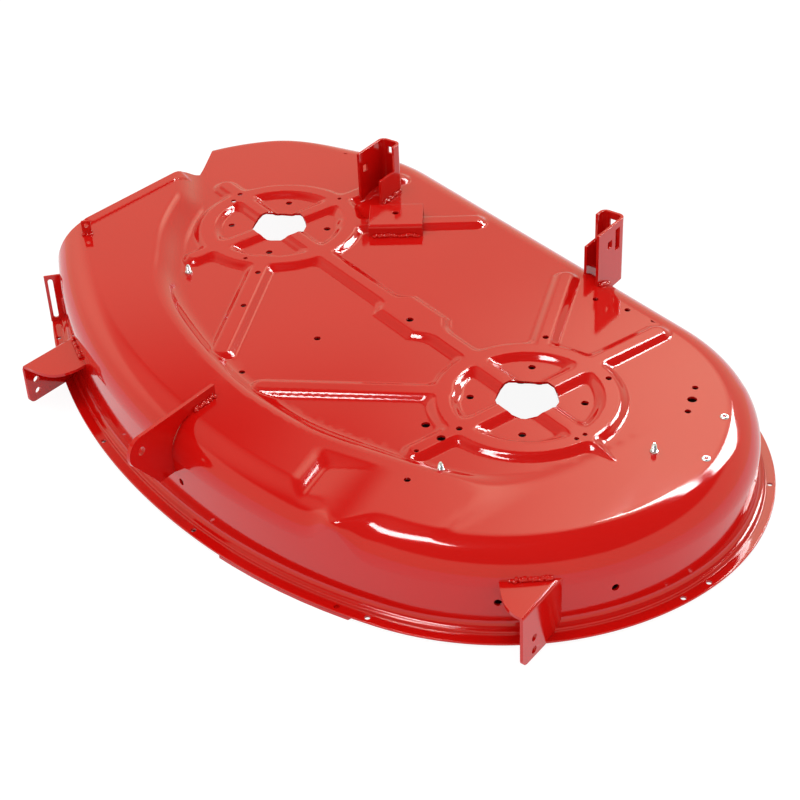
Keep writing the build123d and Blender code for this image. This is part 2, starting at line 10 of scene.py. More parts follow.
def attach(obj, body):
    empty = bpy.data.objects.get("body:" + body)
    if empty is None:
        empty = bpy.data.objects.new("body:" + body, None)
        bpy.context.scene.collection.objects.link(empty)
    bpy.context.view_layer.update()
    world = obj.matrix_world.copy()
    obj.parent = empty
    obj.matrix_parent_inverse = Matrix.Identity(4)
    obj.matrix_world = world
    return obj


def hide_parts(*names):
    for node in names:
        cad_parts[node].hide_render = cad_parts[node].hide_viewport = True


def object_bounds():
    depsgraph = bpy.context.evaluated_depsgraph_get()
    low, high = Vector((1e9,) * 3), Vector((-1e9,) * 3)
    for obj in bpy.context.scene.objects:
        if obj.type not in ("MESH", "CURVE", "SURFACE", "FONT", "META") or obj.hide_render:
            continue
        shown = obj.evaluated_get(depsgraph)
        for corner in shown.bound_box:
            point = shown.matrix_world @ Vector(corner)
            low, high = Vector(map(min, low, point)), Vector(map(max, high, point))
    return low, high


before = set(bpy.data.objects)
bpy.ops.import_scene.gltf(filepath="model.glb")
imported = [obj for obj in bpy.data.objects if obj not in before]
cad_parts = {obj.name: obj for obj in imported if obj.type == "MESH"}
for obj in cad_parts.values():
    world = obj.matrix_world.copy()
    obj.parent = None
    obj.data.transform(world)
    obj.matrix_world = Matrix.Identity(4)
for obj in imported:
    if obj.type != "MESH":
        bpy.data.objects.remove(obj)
bare_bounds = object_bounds()
MM = 0.001

# Sheet and skirt, in millimetres as in the part's source
SHEET = 3.0
RIM_DEPTH = 102.0
LEDGE_OUT = 8.0
LEDGE_STEP = 5.0
FLANGE_OUT = 22.0
FLANGE_TOP = SHEET - RIM_DEPTH
LEDGE_TOP = FLANGE_TOP + LEDGE_STEP

# Roundings of the skirt: foot of the wall, nose of the ledge, root of the flange; outer, then inner face
WALL_FROM = -50.0
WALL_FOOT_HEIGHT = 9.0
WALL_FOOT_OUT = (7.0, 6.0)
LEDGE_NOSE = (2.0, 0.9)
LEDGE_NOSE_BACK = (1.5, 0.8)
FLANGE_ROOT = (1.8, 2.2)
FLANGE_ROOT_OUT = 2.6

# Shoulder of the shell, tighter beside the pocket and at the corner of the rear cut
SHOULDER = 45.0
SHOULDER_AT_POCKET = 12.0
SHOULDER_AT_CUT = 14.0
CUT_TURN = (118.0, 150.0)

# Spindles and the volute of the wall
PITCH = 548.0
END_RADIUS = 281.0
FRONT_RADIUS = 329.0
NOSE_RADIUS = 746.0
SWEEP_RADIUS = 964.0
FRONT_FROM = 4.0
NOSE_FROM = -62.8
SWEEP_FROM = -82.8
ROUND_REAR_FROM = -60.0

# Pressed seats and ribs, with a steeper slope than in the part's source
PRESS_HEIGHT = 6.5
PRESS_RUN = 9.0
PRESS_TOP_ROUND = 2.2
PRESS_FOOT_ROUND = 1.8
RIB_JOIN = 8.0
SEAT_JOIN = 10.0
SEAT_BASE = 122.0
SEAT_FLOOR = 83.0
SPOKE_WIDTH = 36.0
SPOKE_REACH = SEAT_FLOOR + 15.0
SPINDLE_HOLE = 38.5
BOLT_SQUARE = 98.6
BOLT_HOLE = 4.75

# Discharge tunnel roof: a plane that falls towards the closed end, where it runs out into the flat
TUNNEL_TOP = 28.0
TUNNEL_FALL = (0.02823, 0.01128)
TUNNEL_AT = (-180.0, -130.0)
TUNNEL_LEAST = 0.05
TUNNEL_ROUND = 11.0
TUNNEL_ROUND_SHARE = 1.2
CLOSING_X = (590.0, 690.0)
CLOSED_SLOPE = 0.045
CLOSED_ROUND = 3.0


def polar(centre, radius, angle):
    turn = math.radians(angle)
    return (centre[0] + radius * math.cos(turn), centre[1] + radius * math.sin(turn))


SPINDLES = [(0.0, 0.0), (PITCH, 0.0)]
FRONT_C = polar(SPINDLES[1], END_RADIUS - FRONT_RADIUS, FRONT_FROM)
NOSE_C = polar(FRONT_C, FRONT_RADIUS - NOSE_RADIUS, NOSE_FROM)
SWEEP_C = polar(NOSE_C, NOSE_RADIUS - SWEEP_RADIUS, SWEEP_FROM)
ARCS = {
    "sweep": (SWEEP_C, SWEEP_RADIUS, -140.0, SWEEP_FROM),
    "nose": (NOSE_C, NOSE_RADIUS, SWEEP_FROM, NOSE_FROM),
    "front": (FRONT_C, FRONT_RADIUS, NOSE_FROM, FRONT_FROM),
    "end": (SPINDLES[1], END_RADIUS, FRONT_FROM, 90.0),
}

# Discharge edge and notch in plan, and the raised hem along the edge
LIP_START = (-199.0, -34.3)
NOTCH = (-205.0, -9.0)
REAR_CUT = (-330.0, 112.0)
LIP_X = -143.6
LIP_RISE = 1.7
HEM_WIDTH = (14.5, 18.5)
HEM_FROM = (4.0, 14.0)
HEM_TO = (192.0, 206.0)
FLANGE_X = -131.5


def wall_point(x):
    # Point of the long arc of the wall at a given x
    return (x, SWEEP_C[1] - math.sqrt(SWEEP_RADIUS**2 - (x - SWEEP_C[0]) ** 2))


LIP_END = wall_point(LIP_X)
FLANGE_START = wall_point(FLANGE_X)
FLANGE_ANGLE = math.degrees(math.atan2(FLANGE_START[1] - SWEEP_C[1], FLANGE_START[0] - SWEEP_C[0]))

# Pressed ribs: start, end, width at the foot
RIBS = [
    ((100, 1), (262, 1), 37),
    ((0, 95), (0, 213), 36),
    ((-95, 2), (-148, 2), 37),
    ((-2, -95), (-2, -140), 36),
    ((70, -72), (222, -234), 38),
    ((66, 80), (172, 219), 38),
    ((448, 2), (366, 2), 37),
    ((545, 95), (545, 218), 37),
    ((643, 0), (700, 0), 36),
    ((546, -95), (546, -168), 36),
    ((471, 92), (371, 217), 36),
    ((474, -70), (321, -236), 37),
]
HUB = [(248, 1), (274, -32), (349, -32), (395, 1), (349, 37), (274, 37)]

# The rib beside the closed end, and how much narrower it gets on each side towards its end
RUNNING_OUT = RIBS[8]
RUN_OUT = 15.0

# Foot of the tunnel's inner side, from the discharge to the closed end
FOOT = [
    (-262, 24), (-205, -9), (-150, -40), (-117, -62), (-86, -96), (-52, -128), (-6, -161),
    (44, -193), (105, -217), (187, -234), (253, -242), (300, -245), (354, -242), (437, -228),
    (533, -191), (589, -165), (641, -130), (676, -96), (702, -56), (717, -20), (734, 28),
    (770, 46), (860, 55),
]

# Step pocket at the front: inner corner of its bed, then each face's slope and the way it climbs
POCKET_AT = (503.0, -265.0)
POCKET_LOW = 4.0
POCKET_LEFT = (0.46, (-0.894, -0.447))
POCKET_REAR = (0.45, (-0.51, 0.86))
POCKET_BED = (0.10, (0.86, 0.51))
POCKET_CORNER = 5.0
POCKET_FOOT = 2.5
POCKET_RIM = 4.5

# Where the pocket meets the wall: angle on the nose arc, its spread, and how near the front wall that is
POCKET_TIP = -67.5
POCKET_SPREAD = 1.9
POCKET_REACH = -60.0
POCKET_FRONT = -200.0

# Holes in the top: x, y, radius
TOP_HOLES = [
    (-109, 3, 4), (-98, -15, 4), (-123, 204, 4), (-2, 107, 3), (51, -89, 3), (94, -96, 4), (152, -156, 4),
    (272, -120, 4.5), (274, -236, 4), (322, -8, 5), (466, 100, 4), (584, 100, 4), (547, -104, 4),
    (509, -125, 5.5), (548, -132, 5.5), (549, -169, 3), (650, 2, 3), (650, -11, 3), (586, -210, 4),
    (479, 229, 4), (520, 237, 4), (433, 215, 4), (659, 173, 4), (674, 153, 6), (688, 132, 4),
]

# Sheet brackets with rounded edges, and the gauge wheel brackets that are folded along their tops
PLATES = [
    "rear_hanger_left", "rear_hanger_right", "rib_bridge", "front_link_bracket", "chute_ear", "chute_tab",
]
PLATE_EDGE = 0.7
STRIP_EDGE = 0.5
GAUGE_TOPS = {"gauge_bracket_left": -30.0, "gauge_bracket_right": -41.0}
GAUGE_FOLD = 7.0

# Places of the studs and rivets, and the rings of a rivet: radius, height
STUD_AT = [(720, 46), (591, -166), (24, -165)]
RIVET_AT = [
    polar(SPINDLES[1], END_RADIUS - SHOULDER - 0.5, 41.8),
    polar(SPINDLES[1], END_RADIUS - SHOULDER - 1.8, 20.8),
]
RIVET_RINGS = [(2.0, 0.0), (5.6, 0.0), (5.6, 0.4), (5.1, 1.1), (4.0, 1.6), (2.8, 1.5), (2.1, 1.0)]

# Holes in the rim flange: arc of the wall, angle on it
RIM_HOLES = [
    ("end", 42.8), ("front", 3.7), ("front", -3.0), ("nose", -63.8), ("nose", -66.8),
    ("sweep", -83.6), ("sweep", -96.9), ("sweep", -112.4),
]
RIM_HOLE = 3.4

# Holes through the skirt wall: arc of the wall, angle on it, height
WALL_HOLES = [("front", -16.9, -59.0), ("front", -39.9, -59.0), ("sweep", -85.8, -55.0)]
WALL_HOLE = 4.6

# Mesh: steps on the bent, half-bent and flat stretches of the top, and points along each stretch of wall,
# the first of them without a flange
TOP_STEPS = (2.7, 4.5, 12.0)
PLAN_X = (-320, 850)
PLAN_Y = (-420, 300)
BARE_STEPS = 4
SWEEP_STEPS = 84
NOSE_STEPS = 72
FRONT_STEPS = 66
END_STEPS = 72
REAR_STEPS = 64
ROUND_REAR_STEPS = 62
SHOULDER_STEPS = 14
HOLE_STEPS = 20

# Band round a hole in the top, and how far the sheet is drawn in at its edge
HOLE_BAND = 0.8
HOLE_DRAW = 0.35

# Painted shadow on the floor under the deck, where its white glow is taken away: how far it reaches past
# each stretch of the wall, and painted patches of light on the floor below the spindle holes, seen through
# them
PAINTED_SHADOW_PAST = {"sweep": 18, "nose": 6, "front": -8, "end": 0, "rear": 14}
PAINTED_EDGE_FADE = 6.0
# Centres and radius of the painted light patches on the floor below the spindle holes
PAINTED_LIGHT_SPOTS = [(-164, 97), (433, 97)]
PAINTED_LIGHT_RADIUS = 56


def smooth_max(a, b, width):
    share = np.clip(0.5 + 0.5 * (a - b) / width, 0, 1)
    return b + (a - b) * share + width * share * (1 - share)


def smooth_min(a, b, width):
    return -smooth_max(-a, -b, width)


def blend(low, high, value):
    t = np.clip((value - low) / (high - low), 0, 1)
    return t * t * (3 - 2 * t)


def through_points(points, steps):
    # A smooth line through the points
    known = np.array(points, float)
    known = np.vstack([2 * known[0] - known[1], known, 2 * known[-1] - known[-2]])
    line = []
    for k in range(1, len(known) - 2):
        t = np.linspace(0, 1, steps, endpoint=False)[:, None]
        p0, p1, p2, p3 = known[k - 1 : k + 3]
        bend = (2 * p0 - 5 * p1 + 4 * p2 - p3) * t**2 + (-p0 + 3 * p1 - 3 * p2 + p3) * t**3
        line.append(0.5 * (2 * p1 + (p2 - p0) * t + bend))
    line.append(known[-2:-1])
    return np.vstack(line)


FOOT_LINE = through_points(FOOT, 8)


def wall_offset(x, y):
    # Distance outside the wall line
    best = np.full(x.shape, -1e9)
    for centre, radius, start, stop in ARCS.values():
        angle = np.degrees(np.arctan2(y - centre[1], x - centre[0]))
        out = np.hypot(x - centre[0], y - centre[1]) - radius
        best = np.maximum(best, np.where((angle >= start) & (angle <= stop), out, -1e9))
    best = np.maximum(best, np.where((x >= 0) & (x <= PITCH), y - END_RADIUS, -1e9))
    round_rear = np.hypot(x, y) - END_RADIUS
    return np.maximum(best, np.where((x < 0) & (y > ROUND_REAR_FROM), round_rear, -1e9))


def foot_distance(x, y):
    # Distance in front of the tunnel's foot line
    near = np.full(x.shape, 1e18)
    side = np.ones(x.shape)
    for a, b in zip(FOOT_LINE[:-1], FOOT_LINE[1:]):
        run = b - a
        t = np.clip(((x - a[0]) * run[0] + (y - a[1]) * run[1]) / (run @ run), 0, 1)
        gap = (x - a[0] - t * run[0]) ** 2 + (y - a[1] - t * run[1]) ** 2
        turn = run[0] * (y - a[1]) - run[1] * (x - a[0])
        closer = gap < near - 1e-9
        near = np.where(closer, gap, near)
        side = np.where(closer, np.where(turn < 0, 1.0, -1.0), side)
    return np.sqrt(near) * side


def pad_depth(x, y):
    # Distance inside the foot line of the seats, ribs and hub
    depth = np.full(x.shape, -1e3)
    for rib in RIBS:
        a, b, width = rib
        run = np.subtract(b, a)
        t = np.clip(((x - a[0]) * run[0] + (y - a[1]) * run[1]) / (run @ run), 0, 1)
        bar = width / 2 - np.hypot(x - a[0] - t * run[0], y - a[1] - t * run[1])
        if rib == RUNNING_OUT:
            bar = bar - RUN_OUT * t
        depth = smooth_max(depth, bar, RIB_JOIN)
    inside = np.full(x.shape, 1e9)
    for a, b in zip(HUB, HUB[1:] + HUB[:1]):
        run = np.subtract(b, a)
        edge = (run[0] * (y - a[1]) - run[1] * (x - a[0])) / math.hypot(*run)
        inside = np.minimum(inside, edge)
    depth = smooth_max(depth, inside, RIB_JOIN)
    for cx, cy in SPINDLES:
        u = x - cx
        v = y - cy
        r = np.hypot(u, v)
        ring = np.minimum(SEAT_BASE - r, r - SEAT_FLOOR)
        along_x = np.minimum(SPOKE_WIDTH / 2 - np.abs(v), SPOKE_REACH - np.abs(u))
        along_y = np.minimum(SPOKE_WIDTH / 2 - np.abs(u), SPOKE_REACH - np.abs(v))
        for part in (ring, along_x, along_y):
            depth = smooth_max(depth, part, SEAT_JOIN)
    return depth


def fall(out, radius):
    # How far a shoulder of this radius has dropped at a distance from the wall
    q = np.clip(out + radius, 0, radius)
    return radius - np.sqrt(radius**2 - q**2)


def roof_height(x, y):
    plane = TUNNEL_TOP - TUNNEL_FALL[0] * (x - TUNNEL_AT[0]) - TUNNEL_FALL[1] * (y - TUNNEL_AT[1])
    return np.maximum(plane, TUNNEL_LEAST)


def pocket_height(x, y):
    u = x - POCKET_AT[0]
    v = y - POCKET_AT[1]

    def face(slope, climb):
        return slope * (climb[0] * u + climb[1] * v)

    sides = smooth_max(face(*POCKET_LEFT), face(*POCKET_REAR), POCKET_CORNER)
    return POCKET_LOW + smooth_max(sides, face(*POCKET_BED), POCKET_FOOT)


def from_lip(x, y):
    # Distances along the discharge edge and inwards from it
    run = np.subtract(LIP_END, LIP_START)
    run = run / np.linalg.norm(run)
    along = (x - LIP_START[0]) * run[0] + (y - LIP_START[1]) * run[1]
    inside = (y - LIP_START[1]) * run[0] - (x - LIP_START[0]) * run[1]
    return along, inside


def lip_band(x, y):
    # Raised hem along the discharge edge
    along, inside = from_lip(x, y)
    width = 1 - blend(*HEM_WIDTH, inside)
    ends = blend(*HEM_FROM, along) * (1 - blend(*HEM_TO, along))
    return LIP_RISE * width * ends


def deck_height(x, y):
    # Height of the outer face of the pressing, inside the wall line
    out = wall_offset(x, y)
    angle = np.degrees(np.arctan2(y - NOSE_C[1], x - NOSE_C[0]))
    beside_pocket = (out > POCKET_REACH) * (y < POCKET_FRONT)
    tight = np.exp(-(((angle - POCKET_TIP) / POCKET_SPREAD) ** 2)) * beside_pocket
    front_shoulder = SHOULDER - (SHOULDER - SHOULDER_AT_POCKET) * tight
    turn = np.degrees(np.arctan2(y, x))
    rear_shoulder = SHOULDER - (SHOULDER - SHOULDER_AT_CUT) * blend(*CUT_TURN, turn)
    roof = roof_height(x, y)
    closing = blend(*CLOSING_X, x)
    width = np.minimum(TUNNEL_ROUND, TUNNEL_ROUND_SHARE * roof) + CLOSED_ROUND * closing
    rise = (1 - (1 - CLOSED_SLOPE) * closing) * foot_distance(x, y)
    raised = smooth_min(roof - fall(out, front_shoulder), rise, width)
    z = smooth_max(-fall(out, rear_shoulder), raised, width) + lip_band(x, y)
    slope = pad_depth(x, y) * PRESS_HEIGHT / PRESS_RUN
    pads = smooth_min(slope, np.full(x.shape, PRESS_HEIGHT), PRESS_TOP_ROUND)
    z = smooth_max(z, pads, PRESS_FOOT_ROUND)
    return smooth_min(z, pocket_height(x, y), POCKET_RIM)


def deck_normal(x, y, step=0.3):
    gx = (deck_height(x + step, y) - deck_height(x - step, y)) / (2 * step)
    gy = (deck_height(x, y + step) - deck_height(x, y - step)) / (2 * step)
    n = np.stack([-gx, -gy, np.ones_like(gx)], -1)
    return n / np.linalg.norm(n, axis=-1, keepdims=True)


def meet_line(centre, radius, a, b, near):
    # Angle at which a circle meets the line through a and b, on the side of a point
    a = np.array(a, float)
    run = np.subtract(b, a)
    run = run / np.linalg.norm(run)
    rel = a - centre
    half = rel @ run
    root = math.sqrt(half**2 - (rel @ rel - radius**2))
    spots = [a + (-half - root) * run, a + (-half + root) * run]
    spot = min(spots, key=lambda p: np.linalg.norm(p - near))
    return math.degrees(math.atan2(spot[1] - centre[1], spot[0] - centre[0]))


def wall_ring(out):
    # Points of the wall line moved outwards, from the discharge lip round to the rear cut
    start = meet_line(SWEEP_C, SWEEP_RADIUS + min(out, 0.0), LIP_START, LIP_END, LIP_END)
    stop = meet_line((0, 0), END_RADIUS + out, REAR_CUT, NOTCH, REAR_CUT)
    bare = np.linspace(start, FLANGE_ANGLE - 0.02, BARE_STEPS)
    flanged = np.linspace(FLANGE_ANGLE + 0.02, SWEEP_FROM, SWEEP_STEPS, endpoint=False)
    spans = [
        (SWEEP_C, SWEEP_RADIUS, np.concatenate([bare, flanged])),
        (NOSE_C, NOSE_RADIUS, np.linspace(SWEEP_FROM, NOSE_FROM, NOSE_STEPS, endpoint=False)),
        (FRONT_C, FRONT_RADIUS, np.linspace(NOSE_FROM, FRONT_FROM, FRONT_STEPS, endpoint=False)),
        (SPINDLES[1], END_RADIUS, np.linspace(FRONT_FROM, 90, END_STEPS, endpoint=False)),
    ]
    pieces = []
    for centre, radius, angles in spans:
        turn = np.radians(angles)
        x = centre[0] + (radius + out) * np.cos(turn)
        y = centre[1] + (radius + out) * np.sin(turn)
        pieces.append(np.stack([x, y], -1))
    along = np.linspace(PITCH, 0, REAR_STEPS, endpoint=False)
    pieces.append(np.stack([along, np.full(REAR_STEPS, END_RADIUS + out)], -1))
    turn = np.radians(np.linspace(90, stop, ROUND_REAR_STEPS))
    pieces.append((END_RADIUS + out) * np.stack([np.cos(turn), np.sin(turn)], -1))
    return np.vstack(pieces)


def skirt_rows():
    # Each row: offset from the wall and height, then the same on the inner face
    rows = []
    for z in np.linspace(WALL_FROM, LEDGE_TOP + WALL_FOOT_HEIGHT, 7):
        rows.append((0.0, z, -SHEET, z))
    for turn in np.radians(np.linspace(20, 90, 5)):
        out = 1 - math.cos(turn)
        up = 1 - math.sin(turn)
        rows.append((
            WALL_FOOT_OUT[0] * out, LEDGE_TOP + WALL_FOOT_HEIGHT * up,
            -SHEET + WALL_FOOT_OUT[1] * out, LEDGE_TOP - SHEET + (WALL_FOOT_HEIGHT + SHEET) * up,
        ))
    for turn in np.radians(np.linspace(0, 80, 4)):
        out = math.sin(turn)
        down = 1 - math.cos(turn)
        rows.append((
            LEDGE_OUT - LEDGE_NOSE_BACK[0] + LEDGE_NOSE[0] * out, LEDGE_TOP - LEDGE_NOSE[0] * down,
            LEDGE_OUT - SHEET - LEDGE_NOSE_BACK[1] + LEDGE_NOSE[1] * out,
            LEDGE_TOP - SHEET - LEDGE_NOSE[1] * down,
        ))
    root = LEDGE_OUT + FLANGE_ROOT_OUT
    for turn in np.radians(np.linspace(10, 90, 4)):
        back = math.cos(turn)
        up = FLANGE_ROOT[0] * (1 - math.sin(turn))
        rows.append((
            root - FLANGE_ROOT[0] * back, FLANGE_TOP + up,
            root - SHEET - FLANGE_ROOT[1] * back, -RIM_DEPTH + up,
        ))
    for out in (13.0, 15.5, 18.5, 21.2):
        rows.append((out, FLANGE_TOP, out - 0.5, -RIM_DEPTH))
    rows.append((FLANGE_OUT - 0.2, FLANGE_TOP - 0.25, FLANGE_OUT - 0.5, -RIM_DEPTH))
    rows.append((FLANGE_OUT, FLANGE_TOP - 0.8, FLANGE_OUT, -RIM_DEPTH + 0.6))
    return rows


def grid_normals(points):
    # Smooth normals of a grid of points, rows outwards and columns along the wall
    along = np.gradient(points, axis=1)
    down = np.gradient(points, axis=0)
    n = np.cross(down, along)
    return n / np.maximum(np.linalg.norm(n, axis=-1, keepdims=True), 1e-9)


def sampled(a, b, step):
    count = max(2, int(math.dist(a, b) / step))
    t = np.linspace(0, 1, count, endpoint=False)[1:, None]
    return np.array(a) * (1 - t) + np.array(b) * t


def inside_loop(loop, x, y):
    found = np.zeros(x.shape, bool)
    for (ax, ay), (bx, by) in zip(loop, np.roll(loop, -1, axis=0)):
        if ay == by:
            continue
        crossing = (ay > y) != (by > y)
        found ^= crossing & (x < (bx - ax) * (y - ay) / (by - ay) + ax)
    return found


def hex_grid(step):
    gx, gy = np.meshgrid(np.arange(*PLAN_X, step), np.arange(*PLAN_Y, step * 0.866))
    gx[1::2] += step / 2
    return gx.ravel(), gy.ravel()


def all_holes():
    holes = list(TOP_HOLES)
    half = BOLT_SQUARE / 2
    for cx, cy in SPINDLES:
        holes.append((cx, cy, SPINDLE_HOLE))
        holes += [(cx + sx * half, cy + sy * half, BOLT_HOLE) for sx in (-1, 1) for sy in (-1, 1)]
    return holes


def bend_zone(x, y):
    # 0 where the sheet bends most, 1 on the side of the tunnel and in the pocket, 2 where it is flat
    depth = pad_depth(x, y)
    front = foot_distance(x, y)
    along, inside = from_lip(x, y)
    hem = (inside < 23) & (along > -6) & (along < 212)
    bent = ((depth > -5) & (depth < 14)) | hem
    pocket = np.hypot((x - 525) / 85, (y + 280) / 65) < 1
    tunnel = (front > -12) & (front < roof_height(x, y) + 14)
    return np.where(bent, 0, np.where(tunnel | pocket, 1, 2))


def zone_spots(zone, step, edge, holes):
    # Plan points of one zone of the top, clear of its edge and its holes
    x, y = hex_grid(step)
    clear = inside_loop(edge, x, y)
    for hx, hy, r in holes:
        clear &= np.hypot(x - hx, y - hy) > r + HOLE_BAND + 0.5 * min(step, 5)
    x, y = x[clear], y[clear]
    picked = bend_zone(x, y) == zone
    x, y = x[picked], y[picked]
    gap = np.full(x.shape, 1e9)
    for ex, ey in edge:
        gap = np.minimum(gap, (x - ex) ** 2 + (y - ey) ** 2)
    clear = gap > (0.45 * min(step, 6)) ** 2
    return np.stack([x[clear], y[clear]], -1)


def top_triangles(ring):
    # Plan triangles of the top, fine where the sheet bends, and where the ring lies among their points
    edge = np.vstack([
        ring, sampled(ring[-1], NOTCH, 5), [NOTCH], sampled(NOTCH, LIP_START, 5),
        [LIP_START], sampled(LIP_START, ring[0], 5),
    ])
    spots = [edge]
    links = [(k, (k + 1) % len(edge)) for k in range(len(edge))]
    count = len(edge)
    holes = all_holes()
    for hx, hy, r in holes:
        steps = max(HOLE_STEPS, int(r * 2.2))
        turn = np.linspace(0, 2 * math.pi, steps, endpoint=False)
        links += [(count + k, count + (k + 1) % steps) for k in range(steps)]
        for reach in (r, r + HOLE_BAND):
            spots.append(np.stack([hx + reach * np.cos(turn), hy + reach * np.sin(turn)], -1))
            count += steps
    for zone, step in enumerate(TOP_STEPS):
        spots.append(zone_spots(zone, step, edge, holes))
    made = delaunay_2d_cdt([Vector(p) for p in np.vstack(spots)], links, [], 0, 1e-5)
    plan = np.array([tuple(v) for v in made[0]])
    tris = np.array([f for f in made[2] if len(f) == 3])
    mid = plan[tris].mean(axis=1)
    inside = inside_loop(edge, mid[:, 0], mid[:, 1])
    for hx, hy, r in holes:
        inside &= np.hypot(mid[:, 0] - hx, mid[:, 1] - hy) > r * 0.985
    tris = tris[inside]
    a, b, c = plan[tris[:, 0]], plan[tris[:, 1]], plan[tris[:, 2]]
    turned = (b - a)[:, 0] * (c - a)[:, 1] - (b - a)[:, 1] * (c - a)[:, 0] < 0
    tris[turned] = tris[turned][:, ::-1]
    order = [int(np.argmin(np.hypot(*(plan - p).T))) for p in ring]
    return plan, tris, np.array(order)


def skirt_holes():
    # Each hole: centre, radius, direction along the wall, direction across, outward direction
    holes = []
    up = np.array([0.0, 0.0, 1.0])
    for arc, angle in RIM_HOLES:
        centre, radius = ARCS[arc][:2]
        out = np.array(polar((0, 0), 1, angle) + (0.0,))
        spot = polar(centre, radius + (LEDGE_OUT + FLANGE_OUT) / 2, angle)
        holes.append((np.array(spot + (FLANGE_TOP,)), RIM_HOLE, np.cross(up, out), out, up))
    for arc, angle, height in WALL_HOLES:
        centre, radius = ARCS[arc][:2]
        out = np.array(polar((0, 0), 1, angle) + (0.0,))
        spot = polar(centre, radius, angle)
        holes.append((np.array(spot + (height,)), WALL_HOLE, np.cross(up, out), -up, out))
    return holes


def hole_patch(grid, index, hole, first):
    # Replaces the cells around one hole by triangles that leave a round opening
    centre, radius, along, across, out = hole
    rel = grid - centre
    u = rel @ along
    v = rel @ across
    near = np.abs(rel @ out) + np.abs(u) + np.abs(v)
    row, col = np.unravel_index(np.argmin(near), near.shape)
    r0, r1, c0, c1 = row, row, col, col
    while v[r0, col] > -radius - 0.8:
        r0 -= 1
    while v[r1, col] < radius + 0.8:
        r1 += 1
    while u[row, c0] > -radius - 1.5:
        c0 -= 1
    while u[row, c1] < radius + 1.5:
        c1 += 1
    border = [(r0, c) for c in range(c0, c1)] + [(r, c1) for r in range(r0, r1)]
    border += [(r1, c) for c in range(c1, c0, -1)] + [(r, c0) for r in range(r1, r0, -1)]
    turn = np.linspace(0, 2 * math.pi, HOLE_STEPS, endpoint=False)
    ring = radius * np.stack([np.cos(turn), np.sin(turn)], -1)
    flat = [Vector((u[b], v[b])) for b in border] + [Vector(p) for p in ring]
    size = len(border)
    links = [(k, (k + 1) % size) for k in range(size)]
    links += [(size + k, size + (k + 1) % HOLE_STEPS) for k in range(HOLE_STEPS)]
    made = delaunay_2d_cdt(flat, links, [], 0, 1e-6)
    owner = [source[0] for source in made[3]]
    ids = [index[border[k]] if k < size else first + k - size for k in owner]
    faces = []
    for tri in made[2]:
        spots = np.array([made[0][k] for k in tri])
        if np.hypot(*spots.mean(axis=0)) < radius * 0.98:
            continue
        turned = np.cross(spots[1] - spots[0], spots[2] - spots[0]) * (np.cross(along, across) @ out) < 0
        face = tuple(ids[k] for k in tri)
        faces.append(face[::-1] if turned else face)
    points = centre + ring[:, :1] * along + ring[:, 1:] * across
    cells = {(r, c) for r in range(r0, r1) for c in range(c0, c1)}
    return points, faces, cells


def skirt_grid(edge):
    # Rows of points from the edge of the top down to the rim, and the rows of the skirt's inner face
    grid = [edge]
    for turn in np.radians(np.linspace(0, 90, SHOULDER_STEPS + 1))[1:]:
        out = -SHOULDER + SHOULDER * math.sin(turn)
        inward = wall_ring(out - 0.02)
        height = deck_height(inward[:, 0], inward[:, 1])
        grid.append(np.column_stack([wall_ring(out), height]))
    low = grid[-1][:, 2]
    base = wall_ring(0.0)
    has_flange = np.arange(len(base))[:, None] >= BARE_STEPS
    inner_rows = []
    for out, height, inner_out, inner_height in skirt_rows():
        drop = np.full(len(base), height)
        if height > LEDGE_TOP + WALL_FOOT_HEIGHT:
            # The wall starts below the shoulder, also where that ends low
            drop = np.minimum(height, low - 3.0 - 0.4 * (WALL_FROM - height))
        grid.append(np.column_stack([np.where(has_flange, wall_ring(out), base), drop]))
        under = np.where(has_flange, wall_ring(inner_out), wall_ring(-SHEET))
        inner_rows.append(np.column_stack([under, np.minimum(drop, inner_height)]))
    return np.array(grid), np.array(inner_rows)


def closed_sheet(outer, inner, normals, faces):
    # Closes the outer and inner faces into one mesh by a wall along every free edge
    total = len(outer)
    sides = dict.fromkeys((a, b) for face in faces for a, b in zip(face, face[1:] + face[:1]))
    walls = [(b, a, a + total, b + total) for a, b in sides if (b, a) not in sides]
    every = faces + [tuple(v + total for v in reversed(face)) for face in faces]
    points = np.vstack([outer, inner]) * MM
    mesh = bpy.data.meshes.new("deck_skin")
    mesh.from_pydata(points.tolist(), [], [tuple(int(v) for v in f) for f in every + walls])
    mesh.polygons.foreach_set("use_smooth", [True] * len(mesh.polygons))
    both = np.vstack([normals, -normals])
    corners = [both[v] for face in every for v in face]
    for a, b, _, d in walls:
        side = np.cross(points[b] - points[a], points[d] - points[a])
        corners += [side / max(np.linalg.norm(side), 1e-12)] * 4
    mesh.normals_split_custom_set([tuple(n) for n in corners])
    return mesh


